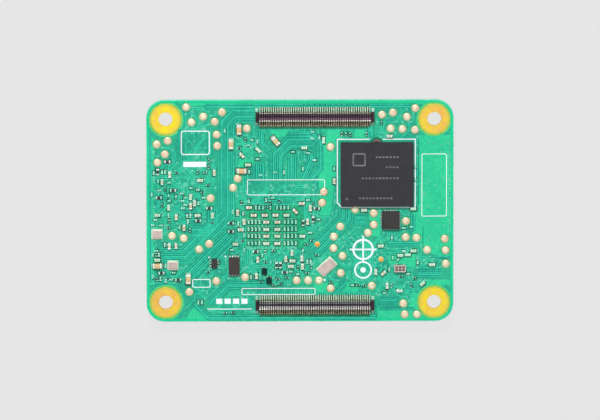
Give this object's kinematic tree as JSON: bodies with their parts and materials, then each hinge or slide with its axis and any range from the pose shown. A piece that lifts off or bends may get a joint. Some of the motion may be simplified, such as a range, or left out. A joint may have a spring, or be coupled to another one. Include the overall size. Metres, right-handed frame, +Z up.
{
  "type": "system on module",
  "caption": "Small rectangular computer board with fine-pitch mating connectors, chips on both faces and plated corner mounting holes.",
  "frame": {"origin": "centre of the board in plan, on the plane of the processor lid that the module rests on", "axes": "+X along the board, +Y across it, +Z up towards the connector side"},
  "size_m": [0.055, 0.04, 0.0047],
  "materials": {
    "board_mask": "green mask over glass laminate",
    "board_print": "screen-printed ink",
    "gold_plate": "gold plate over nickel",
    "pad_finish": "tinned copper, slightly crowned",
    "bare_copper": "bare copper",
    "connector_plastic": "moulded, fine matte",
    "contact_alloy": "thin gold over nickel",
    "tinned_metal": "matte tin",
    "solder": "reflowed solder",
    "chip_mould": "moulded epoxy, fine matte",
    "chip_substrate": "laminate edge",
    "crystal_ceramic": "fired ceramic",
    "crystal_metal": "rolled cap",
    "filter_ferrite": "fired ferrite",
    "capacitor_ceramic": "fired ceramic",
    "resistor_glaze": "dark glaze",
    "silicon": "ground silicon",
    "lid_metal": "nickel plate, satin",
    "inductor_powder": "pressed powder",
    "shield_sheet": "rolled sheet",
    "socket_insulator": "moulded",
    "lens_resin": "clear cast resin"
  },
  "bodies": {
    "root": {"circuit_board": "board_mask", "mounting_rings": "gold_plate", "test_pads": "pad_finish", "copper_targets": "bare_copper", "upper_connector_housing": "connector_plastic", "upper_connector_contacts": "contact_alloy", "upper_connector_hold_downs": "tinned_metal", "lower_connector_housing": "connector_plastic", "lower_connector_contacts": "contact_alloy", "lower_connector_hold_downs": "tinned_metal", "storage_chip_substrate": "chip_substrate", "storage_chip_cap": "chip_mould", "storage_chip_balls": "solder", "flat_chip": "chip_mould", "flat_chip_toes": "solder", "boot_chip": "chip_mould", "boot_chip_toes": "solder", "six_lead_chip": "chip_mould", "six_lead_chip_leads": "tinned_metal", "transistor_bodies": "chip_mould", "transistor_leads": "tinned_metal", "crystal_bases": "crystal_ceramic", "crystal_lids": "crystal_metal", "line_filter": "filter_ferrite", "line_filter_terminals": "tinned_metal", "large_capacitor_bodies": "capacitor_ceramic", "large_capacitor_ends": "tinned_metal", "medium_capacitor_bodies": "capacitor_ceramic", "medium_capacitor_ends": "tinned_metal", "small_capacitor_bodies": "capacitor_ceramic", "small_capacitor_ends": "tinned_metal", "medium_resistor_bodies": "resistor_glaze", "medium_resistor_ends": "tinned_metal", "small_resistor_bodies": "resistor_glaze", "small_resistor_ends": "tinned_metal", "processor_substrate": "chip_substrate", "processor_die": "silicon", "processor_lid": "lid_metal", "processor_balls": "solder", "memory_chip_substrate": "chip_substrate", "memory_chip_cap": "chip_mould", "memory_chip_balls": "solder", "controller_substrate": "chip_substrate", "controller_cap": "chip_mould", "controller_balls": "solder", "power_chip": "chip_mould", "power_chip_toes": "solder", "inductor_cores": "inductor_powder", "inductor_terminals": "tinned_metal", "network_chip": "chip_mould", "network_chip_toes": "solder", "wireless_shield": "shield_sheet", "wireless_chip": "chip_mould", "antenna_socket_base": "socket_insulator", "antenna_socket_shell": "gold_plate", "antenna_socket_pin": "gold_plate", "status_light_bodies": "lens_resin", "status_light_ends": "tinned_metal"}
  },
  "joints": []
}
